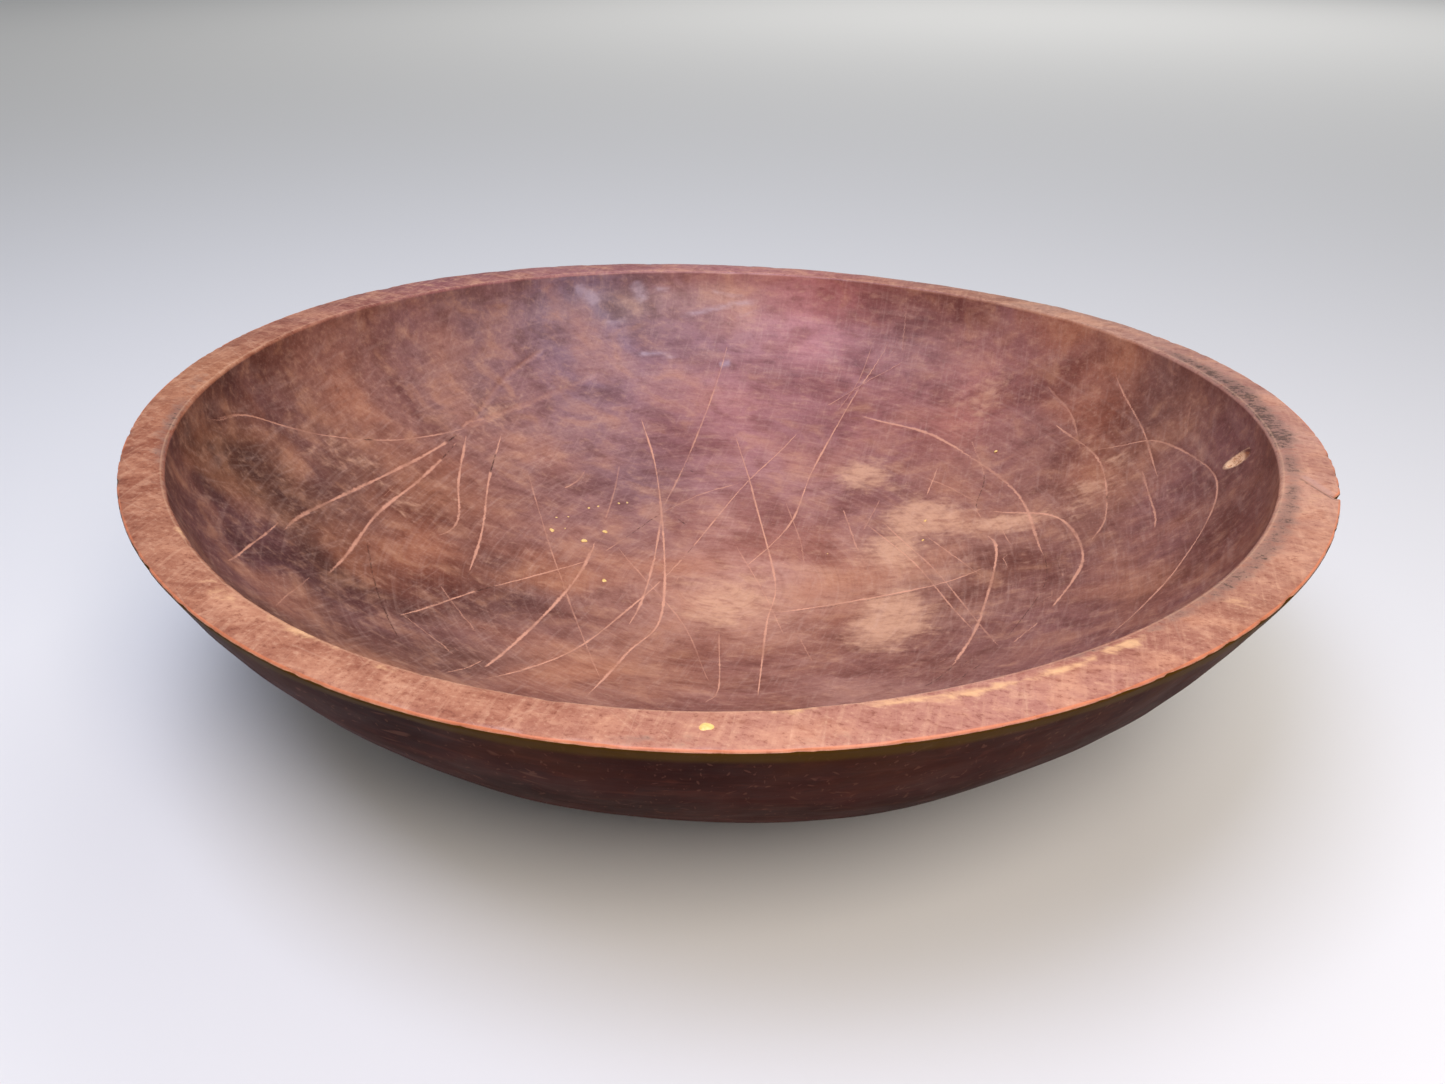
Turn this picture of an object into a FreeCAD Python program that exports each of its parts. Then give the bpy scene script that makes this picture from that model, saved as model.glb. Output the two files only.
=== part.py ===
# A turned and hand-finished wooden bowl: wide and shallow, with a thick flat rim.
# It is one piece of wood. The grain runs along X, and the wood has shrunk across the grain
# since it was turned, so the bowl is slightly oval and its rim has a slight saddle shape.
# Millimetres. Origin: centre of the flat base. +Z up, +X along the grain (the long way).
import FreeCAD, Part
import math
import os

# ---- driving dimensions of the wood ---------------------------------------------------------
RIM_LENGTH = 392.0          # outside of the rim, along the grain
RIM_ACROSS = 368.0          # outside of the rim, across the grain
BOWL_HEIGHT = 94.0          # base to the middle level of the rim
RIM_WARP = 3.5              # the rim is this much higher at its ends and lower at its sides
RIM_WIDTH_ENDS = 16.0       # flat of the rim where it crosses the X axis
RIM_WIDTH_SIDES = 14.0      # flat of the rim where it crosses the Y axis
HOLLOW_TURN = 9.0           # degrees that the hollow's oval is turned from the outside's
FLOOR_THICKNESS = 16.0      # wood left under the lowest point of the hollow
FOOT_DIAMETER = 175.0       # flat base as it was turned, before the oval
WALL_BULGE = 17.0           # how far the outer wall swells past a straight line, rim to foot
RIM_EDGE_ROUND = 1.2        # worn rounding of the rim's two edges
FOOT_CHAMFER = 1.5          # broken edge round the base

# ---- damage ---------------------------------------------------------------------------------
NICK_ANGLE = -7.0           # degrees round the rim from +X, to the nick in its outer edge
NICK_WIDTH = 4.0            # along the rim
NICK_REACH = 3.0            # into the flat of the rim from its outer edge
NICK_DEPTH = 2.5            # down the outside from the rim
CHIP_ANGLE = 9.7            # degrees round the hollow from +X, to the chip in its wall
CHIP_BELOW_TOP = 15.5       # from the highest level of the rim down to the chip's centre
CHIP_LENGTH = 12.0
CHIP_WIDTH = 3.4
CHIP_DEPTH = 1.1
CHIP_LEAN = 35.0            # degrees that the chip leans from straight up the wall

# ---- dried drip on the rim and dried flecks in the hollow, each a small dome ------------------
DRIP_ANGLE = -74.0          # degrees round the rim from +X, to the drip
DRIP_INSET = 7.4            # from the rim's outer edge to the drip's centre
DRIP_DIAMETER = 3.1
DRIP_RISE = 0.7
FLECK_RISE = 0.5
FLECKS = [                  # place in plan along and across the grain, then diameter
    (-60.0, 11.0, 2.2),
    (-55.0, 21.0, 1.9),
    (-74.0, 11.0, 2.0),
    (-42.0, -12.0, 2.4),
]

# ---- values that follow from them -------------------------------------------------------------
HALF_LENGTH = RIM_LENGTH / 2
HALF_ACROSS = RIM_ACROSS / 2
TURNED_RADIUS = (HALF_LENGTH + HALF_ACROSS) / 2      # the round blank before it shrank
HOLLOW_HALF_LENGTH = HALF_LENGTH - RIM_WIDTH_ENDS
HOLLOW_HALF_ACROSS = HALF_ACROSS - RIM_WIDTH_SIDES
RIM_TOP = BOWL_HEIGHT + RIM_WARP                     # highest level of the rim
RIM_LOW = BOWL_HEIGHT - RIM_WARP                     # lowest level of the rim
HOLLOW_DEPTH = RIM_TOP - FLOOR_THICKNESS
SPARE = 10.0                                         # how far cutting tools run past the wood
SADDLE_REACH = 1.6                                   # the saddle's corners, in half sizes
UP = FreeCAD.Vector(0, 0, 1)
CENTRE = FreeCAD.Vector(0, 0, 0)


def at(x, y, z):
    """A point or direction."""
    return FreeCAD.Vector(x, y, z)


def rim_level(x, y):
    """Height of the saddle-shaped rim above the base, at a place in plan."""
    return BOWL_HEIGHT + RIM_WARP * ((x / HALF_LENGTH) ** 2 - (y / HALF_ACROSS) ** 2)


def oval_radius(angle, half_length, half_across):
    """Distance from the centre of an oval to its edge, at an angle in radians."""
    along = math.cos(angle) / half_length
    across = math.sin(angle) / half_across
    return 1 / math.hypot(along, across)


def turned_to_hollow(x, y):
    """Plan coordinates measured along the hollow's own oval."""
    turn = math.radians(HOLLOW_TURN)
    along = x * math.cos(turn) + y * math.sin(turn)
    across = y * math.cos(turn) - x * math.sin(turn)
    return along, across


def hollow_level(x, y):
    """Height of the hollow's surface above the base, at a place in plan."""
    along, across = turned_to_hollow(x, y)
    share = (along / HOLLOW_HALF_LENGTH) ** 2 + (across / HOLLOW_HALF_ACROSS) ** 2
    return RIM_TOP - HOLLOW_DEPTH * math.sqrt(1 - share)


def hollow_normal(place):
    """Direction straight off the hollow's surface into the open, at a point on it."""
    turn = math.radians(HOLLOW_TURN)
    along, across = turned_to_hollow(place.x, place.y)
    slope_along = along / HOLLOW_HALF_LENGTH ** 2
    slope_across = across / HOLLOW_HALF_ACROSS ** 2
    normal = at(
        -(slope_along * math.cos(turn) - slope_across * math.sin(turn)),
        -(slope_along * math.sin(turn) + slope_across * math.cos(turn)),
        (RIM_TOP - place.z) / HOLLOW_DEPTH ** 2,
    )
    normal.normalize()
    return normal


def stretched(shape, along, across, up):
    """A copy of a shape stretched along the three axes."""
    matrix = FreeCAD.Matrix()
    matrix.scale(along, across, up)
    return shape.transformGeometry(matrix)


def ellipsoid(length, width, height, centre, long_way, normal):
    """An ellipsoid of three full sizes, with its length along long_way and height along normal."""
    ball = stretched(Part.makeSphere(1), length / 2, width / 2, height / 2)
    sideways = normal.cross(long_way)
    turn = FreeCAD.Rotation(long_way, sideways, normal, "ZXY")
    ball.Placement = FreeCAD.Placement(centre, turn)
    return ball


def wall_circle():
    """Centre and radius of the circle that the outer wall's section follows, foot to rim."""
    foot = at(FOOT_DIAMETER / 2, 0, 0)
    rim = at(TURNED_RADIUS, 0, RIM_TOP)
    half_chord = (rim - foot).Length / 2
    radius = (half_chord ** 2 + WALL_BULGE ** 2) / (2 * WALL_BULGE)
    inward = at(foot.z - rim.z, 0, rim.x - foot.x)
    inward.normalize()
    return (foot + rim) / 2 + inward * (radius - WALL_BULGE), radius


def turned_radius(level):
    """Radius of the round blank's outer wall at a height above the base."""
    centre, radius = wall_circle()
    return centre.x + math.sqrt(radius ** 2 - (level - centre.z) ** 2)


def turned_outside():
    """The outside as it came off the lathe, too tall at both ends, stretched to its oval.

    The wall runs on in one sweep past the rim, so that the saddle cuts it at the rim's edge.
    """
    foot_inner = FOOT_DIAMETER / 2 - FOOT_CHAMFER
    low = -SPARE
    high = RIM_TOP + SPARE
    middle = high / 2
    wall_start = at(turned_radius(FOOT_CHAMFER), 0, FOOT_CHAMFER)
    wall_middle = at(turned_radius(middle), 0, middle)
    wall_end = at(turned_radius(high), 0, high)
    outline = Part.Wire([
        Part.makeLine(at(0, 0, low), at(foot_inner, 0, low)),
        Part.makeLine(at(foot_inner, 0, low), at(foot_inner, 0, 0)),
        Part.makeLine(at(foot_inner, 0, 0), wall_start),
        Part.Arc(wall_start, wall_middle, wall_end).toShape(),
        Part.makeLine(wall_end, at(0, 0, high)),
        Part.makeLine(at(0, 0, high), at(0, 0, low)),
    ])
    blank = Part.Face(outline).revolve(CENTRE, UP, 360)
    end_stretch = HALF_LENGTH / turned_radius(RIM_TOP)
    side_stretch = HALF_ACROSS / turned_radius(RIM_LOW)
    return stretched(blank, end_stretch, side_stretch, 1)


def hollow_tool():
    """The hollow: the lower half of an ellipsoid, whose wall is upright at the rim's top."""
    ball = stretched(Part.makeSphere(1), HOLLOW_HALF_LENGTH, HOLLOW_HALF_ACROSS, HOLLOW_DEPTH)
    ball.translate(at(0, 0, RIM_TOP))
    ball.rotate(CENTRE, UP, HOLLOW_TURN)
    return ball


def saddle_tool():
    """What lies above the rim: a ruled saddle through four corners, drawn out upwards."""
    end = HALF_LENGTH * SADDLE_REACH
    side = HALF_ACROSS * SADDLE_REACH
    high = rim_level(end, 0)
    low = rim_level(0, side)
    one_side = Part.makeLine(at(end, 0, high), at(0, side, low))
    other_side = Part.makeLine(at(0, -side, low), at(-end, 0, high))
    surface = Part.makeRuledSurface(one_side, other_side)
    return surface.extrude(UP * (high - low + 2 * SPARE + RIM_WARP))


def below_base_tool():
    """What lies below the flat base."""
    side = FOOT_DIAMETER * 2
    return Part.makeBox(side, side, 2 * SPARE, at(-side / 2, -side / 2, -2 * SPARE))


def nick_tool():
    """A wedge that bites a V out of the rim's outer edge."""
    angle = math.radians(NICK_ANGLE)
    edge = oval_radius(angle, HALF_LENGTH, HALF_ACROSS)
    level = rim_level(edge * math.cos(angle), edge * math.sin(angle))
    outer = edge + SPARE
    drop_per_reach = NICK_DEPTH / NICK_REACH
    low = level - NICK_DEPTH - SPARE * drop_per_reach
    half_width_out = NICK_WIDTH / 2 * (1 + SPARE / NICK_REACH)
    corner_left = at(outer, half_width_out, level)
    corner_right = at(outer, -half_width_out, level)
    corner_low = at(outer, 0, low)
    tip = at(edge - NICK_REACH, 0, level)
    lift = UP * SPARE
    section = Part.makePolygon([
        corner_left, corner_low, corner_right, corner_right + lift, corner_left + lift,
        corner_left,
    ])
    tip_section = Part.makePolygon([
        tip + at(0, 0.01, 0), tip - at(0, 0, 0.01), tip - at(0, 0.01, 0),
        tip - at(0, 0.01, 0) + lift, tip + at(0, 0.01, 0) + lift, tip + at(0, 0.01, 0),
    ])
    wedge = Part.makeLoft([section, tip_section], True, True)
    wedge.rotate(CENTRE, UP, NICK_ANGLE)
    return wedge


def chip_tool():
    """A slender ellipsoid that leaves a shallow scoop in the hollow's wall."""
    level = RIM_TOP - CHIP_BELOW_TOP
    shrink = math.sqrt(1 - (CHIP_BELOW_TOP / HOLLOW_DEPTH) ** 2)
    angle = math.radians(CHIP_ANGLE)
    own_angle = angle - math.radians(HOLLOW_TURN)
    radius = oval_radius(own_angle, HOLLOW_HALF_LENGTH, HOLLOW_HALF_ACROSS) * shrink
    centre = at(radius * math.cos(angle), radius * math.sin(angle), level)
    normal = hollow_normal(centre)
    level_way = UP.cross(normal)
    level_way.normalize()
    up_wall = normal.cross(level_way)
    lean = math.radians(CHIP_LEAN)
    long_way = up_wall * math.cos(lean) + level_way * math.sin(lean)
    return ellipsoid(CHIP_LENGTH, CHIP_WIDTH, 2 * CHIP_DEPTH, centre, long_way, normal)


def rim_edges(wood):
    """The closed edges round the flat of the rim, outer and inner."""
    edges = []
    for edge in wood.Edges:
        if edge.Degenerated or edge.Length < RIM_ACROSS:
            continue
        levels = [point.z for point in edge.discretize(24)]
        if min(levels) > RIM_LOW - 1 and max(levels) < RIM_TOP + 1:
            edges.append(edge)
    return edges


def bowl():
    """The whole bowl: turned outside, hollow, saddle-shaped rim, worn edges and damage."""
    wood = turned_outside().cut(below_base_tool())
    wood = wood.cut(saddle_tool())
    wood = wood.cut(hollow_tool())
    wood = wood.makeFillet(RIM_EDGE_ROUND, rim_edges(wood))
    wood = wood.cut(nick_tool())
    wood = wood.cut(chip_tool())
    return wood


def rim_drip(wood):
    """A dried drip: a round dome that sits on the flat of the rim."""
    angle = math.radians(DRIP_ANGLE)
    radius = oval_radius(angle, HALF_LENGTH, HALF_ACROSS) - DRIP_INSET
    x = radius * math.cos(angle)
    y = radius * math.sin(angle)
    centre = at(x, y, rim_level(x, y))
    long_way = at(-math.sin(angle), math.cos(angle), 0)
    dome = ellipsoid(DRIP_DIAMETER, DRIP_DIAMETER, 2 * DRIP_RISE, centre, long_way, UP)
    return dome.cut(wood)


def inside_flecks(wood):
    """Dried flecks: small round domes that sit on the surface of the hollow."""
    domes = []
    for x, y, diameter in FLECKS:
        centre = at(x, y, hollow_level(x, y))
        normal = hollow_normal(centre)
        long_way = at(0, 1, 0).cross(normal)
        long_way.normalize()
        dome = ellipsoid(diameter, diameter, 2 * FLECK_RISE, centre, long_way, normal)
        domes.extend(dome.cut(wood).Solids)
    return Part.makeCompound(domes)


def save(name, shape):
    """Write one piece as a STEP file named after it."""
    shape.exportStep("parts/" + name + ".step")


os.makedirs("parts", exist_ok=True)
wooden_bowl = bowl()
save("bowl", wooden_bowl)
save("rim_drip", rim_drip(wooden_bowl))
save("inside_flecks", inside_flecks(wooden_bowl))
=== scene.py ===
"""A turned wooden bowl, hand-finished, stained and oiled, with a worn, knife-scarred hollow.

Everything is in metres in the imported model's own frame: origin at the centre of the flat base,
+Z up, +X along the grain. The bowl's form is worked out in millimetres and turned to metres
when its mesh is made.
"""
import math

import bmesh
import bpy
import numpy as np
from mathutils import Matrix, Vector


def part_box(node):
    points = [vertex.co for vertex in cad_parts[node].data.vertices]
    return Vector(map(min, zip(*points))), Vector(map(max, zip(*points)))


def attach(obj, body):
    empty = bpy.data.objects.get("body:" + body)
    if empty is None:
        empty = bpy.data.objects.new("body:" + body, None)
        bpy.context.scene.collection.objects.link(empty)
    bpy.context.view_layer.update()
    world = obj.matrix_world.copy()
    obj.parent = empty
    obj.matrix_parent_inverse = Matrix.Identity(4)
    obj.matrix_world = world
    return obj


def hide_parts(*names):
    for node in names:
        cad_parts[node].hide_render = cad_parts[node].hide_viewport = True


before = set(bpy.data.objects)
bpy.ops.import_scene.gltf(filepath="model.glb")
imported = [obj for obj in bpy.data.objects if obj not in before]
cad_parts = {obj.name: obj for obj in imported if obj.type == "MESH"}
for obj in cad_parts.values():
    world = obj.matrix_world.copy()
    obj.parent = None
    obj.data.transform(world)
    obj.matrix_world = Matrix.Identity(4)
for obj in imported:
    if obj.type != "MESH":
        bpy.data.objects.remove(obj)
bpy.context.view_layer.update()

MM = 0.001
TAU = 2 * math.pi

# ---- sizes of the bowl, millimetres: the overall ones come from the frame ----
base_corner, top_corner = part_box("bowl")
CORNER_LOST = 0.55          # how far the rounded edge of the rim stands inside its true corner
HALF_LENGTH = (top_corner.x - base_corner.x) / 2 / MM + CORNER_LOST
HALF_ACROSS = (top_corner.y - base_corner.y) / 2 / MM + CORNER_LOST
RIM_WARP = 3.5              # ends of the rim stand this much above its middle level
BOWL_HEIGHT = 94.0          # base to the middle level of the rim
RIM_WIDTH_ENDS = 16.0
RIM_WIDTH_SIDES = 14.0
HOLLOW_TURN = math.radians(9.0)
FLOOR_THICKNESS = 16.0
FOOT_RADIUS = 87.5
FOOT_CHAMFER = 1.5
WALL_BULGE = 17.0           # how far the wall swells past a straight line from foot to rim
EDGE_BAND = 5.0             # strip of the wall straight under the rim
OUTER_ROUND = 1.0           # wear on the rim's outer edge
INNER_ROUND = 1.4           # wear on the rim's inner edge
RIM_CROWN = 0.35            # how far the middle of the rim's flat stands proud
EDGE_LOSS = 0.36            # how far wear has brought the rim's outer edge in
# Wander of the handwork along the rim's two edges: waves in a turn, height in mm and phase
OUTER_WANDER = [(3, 0.22, 0.6), (7, 0.14, 2.0)]
INNER_WANDER = [(4, 0.35, 1.1), (9, 0.2, 0.3)]
# Waves left by the tools: their length and height in mm, and the seed they are drawn from
WALL_WAVES = (34, 0.30, 3)
HOLLOW_WAVES = (40, 0.22, 4)
RIM_WAVES = (18, 0.14, 5)
RIDGE_STEP = 7.5            # between the ridges that turning left in the hollow
RIDGE_HEIGHT = 0.05
# Wood lost from the rim's edges: length of the waves it follows, their seed, the wave height
# past which wood is gone, and how much goes
OUTER_LOSSES = [(6, 6, 0.5, 0.8), (3, 16, 0.6, 0.5)]
INNER_LOSSES = [(9, 7, 0.6, 0.5)]
EDGE_ROWS = 0.4             # how far from the middle of an edge's rows that loss reaches

TURNED_RADIUS = (HALF_LENGTH + HALF_ACROSS) / 2
RIM_TOP = BOWL_HEIGHT + RIM_WARP
HOLLOW_DEPTH = RIM_TOP - FLOOR_THICKNESS

# ---- damage, millimetres, with angles round the bowl from +X ----
NICK_ANGLE = math.radians(-7.0)
NICK_HALF_WIDTH = 2.0
NICK_REACH = 3.2            # from the rim's outer edge to where the nick ends
NICK_DEPTH = 2.6
# the dent that runs inwards from the nick: places in plan, and its width and depth
NICK_TAIL = [(192, -25), (189, -20), (186, -15), (184, -12)]
NICK_TAIL_WIDTH = 2.2
NICK_TAIL_DEPTH = 0.45
CHIP_ANGLE = math.radians(9.5)
CHIP_BELOW_TOP = 15.0       # its middle, under the top of the rim
CHIP_HALF_LENGTH = 6.6
CHIP_HALF_WIDTH = 2.4
CHIP_DEPTH = 0.7
CHIP_LIP = 0.2              # height of the lip round it
CHIP_LEAN = math.radians(35.0)      # its length leans this much from straight up the wall

# Knife scars in the hollow: places along and across the grain that the scar runs through, its
# width in mm and how pale its bruised wood is. Where a stretch of it has taken up dirt, then also
# the shares of its length that the stretch runs from and to, and the dirt's strength.
SCARS = [
    # the fan of cuts near the left end
    ([(-129, 48), (-145, 20), (-161, -6), (-172, -31), (-170, -56)], 0.9, 0.55, (0.36, 0.39, 0.9)),
    ([(-130, 44), (-138, 2), (-141, -34), (-140, -55), (-136, -70)], 1.5, 0.68, (0.03, 0.09, 0.9)),
    ([(-140, -66), (-132, -90), (-122, -112)], 0.8, 0.70, (0.16, 0.22, 0.4)),
    ([(-129, 38), (-129, 3), (-128, -28), (-118, -65), (-114, -79)], 1.4, 0.68, (0.03, 0.12, 0.9)),
    ([(-128, 44), (-118, 17), (-107, -4), (-105, -15), (-107, -21)], 1.1, 0.70),
    ([(-129, 48), (-122, 65), (-106, 92), (-93, 110)], 3.6, 0.28),
    ([(-129, 48), (-129, 64), (-127, 84), (-118, 106)], 3.0, 0.25, (0.16, 0.20, 0.5)),
    ([(-131, 46), (-130, 52), (-126, 58)], 1.6, 0.45),
    ([(-117, 55), (-109, 26), (-96, -6), (-86, -36)], 1.1, 0.72, (0.14, 0.26, 0.9)),
    ([(-115, -86), (-109, -104), (-103, -117)], 0.6, 0.50),
    # long cuts across the middle and the front
    ([(-87, -81), (-79, -48), (-67, -24), (-53, -1)], 0.9, 0.75, (0.42, 0.52, 0.9)),
    ([(-56, 13), (-52, -15), (-51, -50), (-49, -94)], 1.3, 0.85),
    ([(-52, -89), (-53, -99), (-55, -106)], 0.6, 0.55),
    ([(-68, 99), (-50, 70), (-27, 15), (-13, -30), (-15, -57), (-14, -95)], 1.0, 0.90),
    ([(-40, 147), (-40, 107), (-39, 47)], 0.9, 0.60),
    ([(-39, 47), (-30, 11), (-24, -19), (-22, -38)], 0.9, 0.75),
    ([(-45, -102), (-32, -66), (-27, -30), (-22, -2)], 0.9, 0.85),
    ([(-22, -2), (-12, 65), (5, 112)], 0.7, 0.75, (0.14, 0.24, 0.55)),
    ([(14, 127), (30, 140), (46, 148)], 0.7, 0.60),
    ([(-99, 42), (-58, -17), (-15, -80)], 0.7, 0.50),
    ([(-50, 8), (-43, 30), (-38, 44)], 0.8, 0.50, (0.35, 1.00, 0.75)),
    ([(-38, 44), (-27, 61), (-12, 74)], 0.7, 0.55),
    ([(-47, 14), (-6, -27), (18, -68)], 0.6, 0.45),
    ([(10, -31), (22, -71), (21, -83)], 0.6, 0.65),
    ([(-78, 55), (-78, 48), (-81, 40)], 0.9, 0.55),
    ([(-66, 66), (-62, 50), (-58, 29)], 0.8, 0.40),
    ([(-89, -51), (-78, -60), (-63, -72)], 0.6, 0.40),
    ([(-86, -79), (-73, -85), (-60, -92)], 0.6, 0.45),
    ([(-24, 105), (-6, 71), (20, 11), (25, -21), (36, -75)], 0.8, 0.85),
    ([(37, 156), (25, 130), (17, 89), (16, 51), (6, 17)], 0.9, 0.80, (0.16, 0.19, 0.6)),
    ([(29, 155), (26, 140), (20, 125)], 0.8, 0.45),
    ([(26, -12), (55, 2), (83, 14), (98, 23)], 0.8, 0.95),
    ([(27, -13), (56, 1), (84, 13)], 0.5, 0.00, (0.10, 0.90, 0.7)),
    # the nested arcs towards the right end
    ([(30, 123), (69, 108), (104, 71), (118, 25)], 1.3, 0.70),
    ([(118, 28), (119, 5), (109, -28)], 0.7, 0.20, (0.00, 1.00, 0.7)),
    ([(96, 60), (121, 49), (131, 19), (122, -12)], 1.2, 0.70),
    ([(118, -21), (114, -27), (111, -33)], 0.7, 0.70),
    ([(96, 45), (101, 32), (99, -15), (93, -47)], 1.1, 0.85),
    ([(93, -47), (90, -55), (86, -62)], 0.9, 0.60, (0.00, 1.00, 0.8)),
    ([(103, -45), (98, -53), (93, -63)], 0.9, 0.50, (0.00, 1.00, 0.8)),
    ([(131, 82), (154, 68), (170, 29), (159, -7), (137, -46)], 0.8, 0.75),
    ([(136, 108), (148, 79), (154, 51)], 0.8, 0.60),
    ([(149, 59), (153, 33), (153, 23)], 0.9, 0.65),
    ([(116, 102), (134, 75), (138, 43), (133, 27)], 0.9, 0.65, (0.66, 0.71, 0.6)),
    ([(111, 120), (122, 103), (127, 84)], 1.0, 0.40),
    ([(83, 105), (91, 83), (90, 65), (93, 56)], 0.8, 0.60, (0.45, 0.85, 0.7)),
    # short cuts crossing each other right of the middle
    ([(71, 91), (69, 74)], 0.6, 0.75),
    ([(67, 85), (78, 78), (90, 67)], 0.8, 0.50),
    ([(42, 61), (72, 27), (98, -22)], 0.6, 0.60),
    ([(73, 47), (88, 29), (99, 15)], 0.6, 0.55),
    ([(53, 58), (82, 19), (107, -35)], 0.6, 0.55),
    ([(50, 71), (47, 51)], 0.6, 0.55),
    ([(36, 64), (42, 50), (48, 35)], 0.7, 0.60),
    ([(10, 67), (24, 38), (30, 17)], 0.6, 0.45),
    ([(-2, 32), (17, 3), (33, -27)], 0.6, 0.45),
    ([(39, -28), (47, -44)], 0.6, 0.55),
    ([(162, 71), (162, 62)], 0.6, 0.50),
    ([(42, 165), (43, 160), (44, 150)], 0.7, 0.40),
    # two small splinters
    ([(-30.5, 42), (-28.5, 41), (-26.5, 39.5)], 1.0, 0.30, (0.00, 1.00, 0.9)),
    ([(-40, 77), (-37, 76), (-34, 75)], 1.0, 0.40, (0.00, 1.00, 0.8)),
    # a hairline crack low on the left wall, darker than the wood round it
    ([(-122, -44), (-101, -71), (-76, -97)], 1.0, 0.00, (0.00, 1.00, 0.7)),
]
CLEAN = (2.0, 3.0, 0.0)     # the dirty stretch of a clean scar: past its end, with no dirt
SCAR_DEPTH = 0.24           # depth of a scar for each mm of its width
SCAR_GROUPS = 5             # scars of one group keep clear of each other where they can
SCAR_CLEAR = 7.0            # mm between scars that may share a group
SCAR_REACH = 6.0            # mm round a scar where its distance is written
FAR_AWAY = 50.0             # the distance written where no scar is near

# Pale scuffs on the far wall: places in plan, width in mm and strength
SCUFFS = [
    ([(-88, 146), (-85, 146), (-81, 145)], 7.0, 0.8),
    ([(-112, 130), (-105, 133), (-101, 133)], 6.0, 0.9),
    ([(-79, 149), (-70, 153)], 2.5, 0.8),
    ([(-68, 147), (-56, 153), (-40, 160), (-25, 164)], 2.8, 0.8),
    ([(-41, 155), (-36, 158), (-29, 161), (-22, 163)], 1.6, 1.0),
    ([(-82, 127), (-72, 131), (-60, 135)], 2.4, 0.9),
    ([(-42, 137), (-36, 140)], 4.0, 0.9),
    ([(-99, 130), (-92, 134), (-86, 139)], 4.0, 0.5),
    ([(-54, 159), (-43, 161), (-34, 163)], 2.4, 0.6),
    ([(-61, 152), (-38, 160), (-14, 165)], 1.6, 0.6),
]

# Stain in the hollow, with painted shade and a painted cool sheen laid into it: centre in plan, reach
# in mm, colour and strength, each laid over the last
STAIN = "#8c5c50"
STAIN_SHADE_AND_SHEEN_PLACES = [
    # the far wall, mauve: the stain with a painted cool sheen in it
    (-30, 130, 70, "#9c6668", 0.9), (-20, 118, 40, "#b87c7a", 0.85), (-80, 118, 30, "#a97978", 0.8),
    (-100, 88, 28, "#946e70", 0.8), (0, 152, 28, "#ad6a60", 0.6), (42, 120, 36, "#9e615d", 0.8),
    (100, 100, 48, "#925f54", 0.8), (-122, 88, 24, "#a4746c", 0.8), (-142, 58, 24, "#87605b", 0.8),
    # the right wall, dark red-brown
    (132, 58, 28, "#956453", 0.7), (152, 18, 34, "#7e5043", 0.9), (165, -35, 42, "#7a4438", 0.85),
    (118, 2, 32, "#804f41", 0.8), (100, -30, 28, "#87584c", 0.8),
    # the floor, rubbed pale
    (62, 2, 44, "#b08470", 0.6), (8, -10, 42, "#c28c76", 0.85), (12, 42, 36, "#cc9482", 0.8),
    (-18, 70, 34, "#a87474", 0.8), (-58, 58, 28, "#896365", 0.9), (-60, 20, 24, "#966960", 0.8),
    # the left wall, brown with an orange cast, darkened low down and at its near end with painted
    # shade
    (-100, 40, 28, "#8f625a", 0.8), (-124, -2, 30, "#935c42", 0.9), (-155, -20, 32, "#7f5444", 0.9),
    (-150, -66, 34, "#50291f", 0.95), (-172, -45, 26, "#4e281e", 0.95),
    (-130, -95, 28, "#4d2820", 0.95), (-100, -125, 24, "#64402f", 0.9),
    (-118, -60, 22, "#80513d", 0.8), (-92, -92, 30, "#6a453b", 0.9),
    (-80, -40, 24, "#6f4c46", 0.9),
    # the near part of the floor, darker at its left end with painted shade
    (-75, -110, 24, "#734a3e", 0.85), (-52, -76, 26, "#8e6454", 0.8), (-20, -80, 34, "#986655", 0.8),
    (20, -62, 34, "#a2694f", 0.8), (60, -66, 34, "#ad7c6a", 0.8),
    # smaller patches over them
    # (-109, 130), lilac grey, is the stain with a painted cool reflection over it
    (-109, 130, 34, "#7c6a7e", 0.75), (101, 139, 28, "#80575c", 0.6), (-149, 85, 22, "#7a5a5c", 0.6),
    (2, 162, 24, "#cc8686", 0.7), (78, 124, 22, "#bc7260", 0.6), (151, 80, 22, "#6a4036", 0.6),
    # painted shade: the dark patches at (-125, -93), (-161, -64) and (-69, -98), low on the left and
    # near side
    (-72, -31, 20, "#553a3b", 0.7), (-125, -93, 26, "#361811", 0.8), (-161, -64, 24, "#371b14", 0.8),
    (-69, -98, 22, "#5c382e", 0.7), (-14, 48, 18, "#d2a090", 0.5),
]
# Worn places in the hollow: centre in plan, reach along and across the grain, and how pale
WORN_PLACES = [
    (69, 61, 16, 10, 1.65),
    (41, 87, 15, 12, 1.15),
    (60, 36, 17, 15, 1.00),
    (68, -12, 16, 26, 1.25),
    (8, -8, 24, 22, 1.05),
    (102, 50, 20, 8, 1.10),
    (-155, -10, 18, 18, 0.5),
    (-120, -8, 16, 20, 0.45),
    (-122, 64, 16, 16, 0.6),
    (86, 126, 12, 12, 0.80),
    (135, 63, 12, 18, 0.6),
]

# Tone of the rim round the bowl: degrees from +X and colour
RIM_TONES = [
    (-170, "#a96d4c"), (-150, "#98593e"), (-130, "#a0664b"), (-90, "#a66b52"), (-70, "#b47b66"),
    (-50, "#b07868"), (-30, "#ac775f"), (-10, "#bf8b73"), (10, "#bd8a78"), (30, "#b08070"),
    (60, "#b5866e"), (90, "#b0706a"), (120, "#a87070"), (150, "#955a58"),
]
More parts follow.
